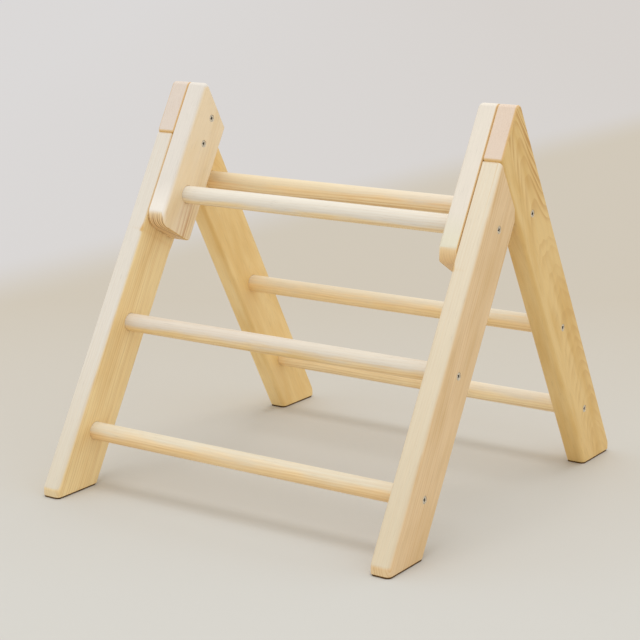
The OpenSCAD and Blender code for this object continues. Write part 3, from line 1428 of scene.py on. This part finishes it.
@dataclass
class CheekBoard(Board):
    """A cheek board: screwed to the rear rail's head, in line with the front rail, with the
    bore that the front ladder's top rung turns in.
    """

    kind: str = "cheek_board"
    slot: str = "cheek_wood"
    tones: tuple[Tones, ...] = (
        Tones("#EAE2D7", "#E5E0CC", "#F3D8AC", "#ECCC9C"),
        Tones("#E4DED7", "#F3EDE6", "#F4E0C0", "#EFD7AE"),
    )
    spare: float = 30 * MM
    toe_r: float = 20 * MM
    toe_flats: int = 9
    heel_r: float = 12 * MM
    heel_flats: int = 7
    bore_r: float = 11.6 * MM

    def shape(self) -> Object:
        """Saw and round the board.

        Returns:
            The board.
        """
        block = self.blank()
        rear = self.stance.rear
        saw(block, rear.point(0, 0), -rear.inward)
        self.shave_apex(block)
        round_edges(block, self._radius, self.rounding_steps)
        end = self.stance.cheek_end
        down, back = self.plane.down, self.plane.inward
        saw(block, self.plane.point(end, 0), down)
        toe = self.plane.point(end - self.toe_r, self.toe_r)
        shave_arc(block, toe, self.toe_r, (-back, down), self.toe_flats)
        heel = self.plane.point(end - self.heel_r, self.plane.rail_w - self.heel_r)
        shave_arc(block, heel, self.heel_r, (back, down), self.heel_flats)
        return block

    def bores(self) -> list[Object]:
        """Cutter for the bore, flared at both faces."""
        low, high = self.box
        return [self.bore(self.bore_r, (low.x, high.x), self.stance.pivot, True)]

    def _radius(self, middle: Vector, direction: Vector) -> float:
        """Rounding of an edge round the inner face."""
        inner = self.on_face(middle, direction) and not self.is_outer(middle)
        return self.edge_r if inner else 0.0

    def pine(self) -> Pine:
        """Pine sawn close to the quarter, with long lines and a striped end.

        Returns:
            The pine.
        """
        return self.sawn_pine(
            inward_mm=35.0,
            cut=Cut.STEEP_RIFT,
            bleach=(0.0, 0.45),
            faint_mm=(50.0, 28.0),
            fade_mm=(-145.0, -180.0),
            low_gain=6.5,
            latewood="#C2884C",
            end_grain="#EFCE9B",
            end_line="#9C6C3A",
            golden_depth=0.1,
            pale_depth=0.04,
            end_depth=self.side.pick(0.12, 0.9),
            seed=15.0 + self.side.value,
        )


# ---- The two ladders


@dataclass
class Ladder(ABC):
    """Three rungs between two rails, with their screws and a pad under each foot."""

    stance: Stance
    zinc: Material
    rubber: Material
    name: str = "ladder"
    rungs: tuple[Rung, ...] = ()

    @abstractmethod
    def build_boards(self, side: Side, screws: ScrewRow) -> list[ScrewRow]:
        """Build the boards of one side.

        Args:
            side: The side.
            screws: The screws that go through the rail into the rungs.

        Returns:
            The rows of screws that hold these boards together.
        """

    def build(self) -> None:
        """Build every piece of the ladder."""
        middles = [rung.middle for rung in self.rungs]
        for side in Side:
            screws = ScrewRow(f"{self.name}_rung_screws_{side.word}", side, middles)
            board_screws = self.build_boards(side, screws)
            for row in (screws, *board_screws):
                row.build(self.zinc)
            FootPad(f"{self.name}_foot_pad_{side.word}").build(self.rubber)
        for rung in self.rungs:
            rung.build()


@dataclass
class FrontLadder(Ladder):
    """The ladder that folds. Its top rung is the pivot."""

    name: str = "front"
    # Each rung: its tones, painted pale on top as lit and golden underneath as painted shade, the span
    # of upward facing over which they change, and a seed.
    rungs: tuple[Rung, ...] = (
        Rung("front_top_rung", Tones("#E7E1D6", "#E7E1D6", "#FBE6BA", "#F5D9A6"), (-0.85, 0.0), 21.0),
        Rung("front_middle_rung", Tones("#E1D9CC", "#DFD5C8", "#F9DFAE", "#EDCC8E"), (-0.6, 0.35), 24.7),
        Rung("front_bottom_rung", Tones("#E1D7C2", "#E1D7C2", "#F9DBA8", "#F2D09A"), (-0.3, 1.0), 28.4),
    )

    def build_boards(self, side: Side, screws: ScrewRow) -> list[ScrewRow]:
        """Build the rail of one side, which no other screws hold."""
        FrontRail(side, self.stance, rungs=self.rungs).build([screws])
        return []


@dataclass
class RearFrame(Ladder):
    """The ladder that the front one folds against, with its cheek boards and their screws."""

    name: str = "rear"
    # Each rung: its tones, painted pale on top as lit and golden underneath as painted shade, the span
    # of upward facing over which they change, and a seed.
    rungs: tuple[Rung, ...] = (
        Rung(
            "rear_top_rung",
            Tones("#E9DDCA", "#E9D8B8", "#FFE9BE", "#FDDCA8"),
            (-0.3, 0.6),
            32.1,
            latewood="#D09A4A",
            golden_depth=0.6,
        ),
        Rung("rear_middle_rung", Tones("#E2D8C4", "#E2D3B8", "#FFE2AE", "#F8D79C"), (-0.3, 0.9), 35.8),
        Rung("rear_bottom_rung", Tones("#E4D9C6", "#F3D8A9", "#FFE9BC", "#FCDCA6"), (-0.3, 0.8), 39.5),
    )
    cheek_spins_deg: tuple[float, ...] = (20.0, 65.0)

    def build_boards(self, side: Side, screws: ScrewRow) -> list[ScrewRow]:
        """Build the rail and the cheek board of one side.

        Args:
            side: The side.
            screws: The screws that go through the rail into the rungs.

        Returns:
            The row of screws that holds the cheek board to the rail.
        """
        node = f"cheek_screws_{side.word}"
        low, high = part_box(node)
        to_axis = Vector((0, WoodScrew.head_r, WoodScrew.head_r))
        cheek_screws = ScrewRow(
            node, side.other, [high - to_axis, low + to_axis], self.cheek_spins_deg
        )
        RearRail(side, self.stance, rungs=self.rungs).build([screws, cheek_screws])
        CheekBoard(side, self.stance).build([cheek_screws])
        return [cheek_screws]


# ---- Studio


@dataclass
class Studio:
    """Pale floor with painted light fall-off, soft light and the camera at the photograph's angle."""

    azimuth_deg: float = 33.82
    elevation_deg: float = 13.43
    roll_deg: float = -0.10
    eye: Vector = field(default_factory=lambda: Vector((1.2115, -1.8463, 0.7305)))
    focal_px: float = 1785.8
    picture_px: int = 640
    sensor_mm: float = 36.0
    floor_size: float = 60.0
    floor_tones: tuple[str, str] = ("#CBCAC7", "#C3BCB1")
    floor_run: Span = (-0.4, 1.0)
    backdrop_tones: tuple[str, str] = ("#CCCBCE", "#C8C5C5")
    backdrop_run: Span = (-1.2, 1.2)
    backdrop_x: Span = (-1.0, -1.35)
    sun_h: float = 3.0
    sun_strength: float = 0.7
    sun_angle_deg: float = 28.0
    sun_tint: str = "#F6FAFF"
    sky_strength: float = 0.98
    sky_tint: str = "#FEFBF4"

    def build(self) -> None:
        """Build the floor, the light and the camera."""
        self._floor()
        self._light()
        self._camera()
        bpy.context.scene.view_settings.view_transform = "Standard"

    def _floor(self) -> None:
        """Pale matt floor that turns into the paler backdrop's tone behind the part; both are graded as
        painted fall-off of light.
        """
        select_only()
        bpy.ops.mesh.primitive_plane_add(size=self.floor_size)
        floor = bpy.context.object
        floor.name = "floor"
        material = bpy.data.materials.new("pale matt floor")
        add = open_nodes(material)
        place = add("TexCoord", output="Object")
        behind = add("SeparateXYZ", (place,), "X")
        share = add("MapRange", (behind, *self.backdrop_x), interpolation_type="SMOOTHSTEP")
        turn = math.radians(self.azimuth_deg)
        away, across = (-math.sin(turn), math.cos(turn), 0), (math.cos(turn), math.sin(turn), 0)
        # Painted fall-off of light: the floor darkens and warms away from the camera, the backdrop
        # changes from left to right.
        shades = []
        for way, ends, tones in (
            (away, self.floor_run, self.floor_tones),
            (across, self.backdrop_run, self.backdrop_tones),
        ):
            run = add("VectorMath", (place, way), operation="DOT_PRODUCT")
            faded = add("MapRange", (run, *ends))
            shades.append(add("Mix", (faded, *(colour(tone) for tone in tones)), data_type="RGBA"))
        tone = add("Mix", (share, *shades), data_type="RGBA")
        add("OutputMaterial", (add("BsdfDiffuse", (tone,)),))
        floor.data.materials.append(material)

    def _light(self) -> None:
        """Soft overhead lamp and an even sky."""
        bpy.ops.object.light_add(type="SUN", location=(0, 0, self.sun_h))
        lamp = bpy.context.object
        lamp.name = "overhead"
        lamp.data.energy = self.sun_strength
        lamp.data.angle = math.radians(self.sun_angle_deg)
        lamp.data.color = colour(self.sun_tint)[:3]
        world = bpy.data.worlds.new("soft sky")
        bpy.context.scene.world = world
        add = open_nodes(world)
        add("OutputWorld", (add("Background", (colour(self.sky_tint), self.sky_strength)),))

    def _camera(self) -> None:
        """Camera at the photograph's place, turn and lens."""
        turn, rise = math.radians(self.azimuth_deg), math.radians(self.elevation_deg)
        flat = math.cos(rise)
        back = Vector((math.sin(turn) * flat, -math.cos(turn) * flat, math.sin(rise)))
        bpy.ops.object.camera_add(location=self.eye)
        camera = bpy.context.object
        camera.rotation_mode = "QUATERNION"
        roll = Quaternion((0, 0, 1), math.radians(self.roll_deg))
        camera.rotation_quaternion = (-back).to_track_quat("-Z", "Y") @ roll
        camera.data.sensor_width = self.sensor_mm
        camera.data.lens = self.focal_px * self.sensor_mm / self.picture_px
        bpy.context.scene.camera = camera


def main() -> None:
    """Build the two ladders and the studio."""
    logging.basicConfig(level=logging.INFO, format="%(message)s")
    stance = Stance()
    zinc = ZincPlate().make()
    rubber = PadRubber().make()
    RearFrame(stance, zinc, rubber).build()
    FrontLadder(stance, zinc, rubber).build()
    Studio().build()


if __name__ == "__main__":
    main()
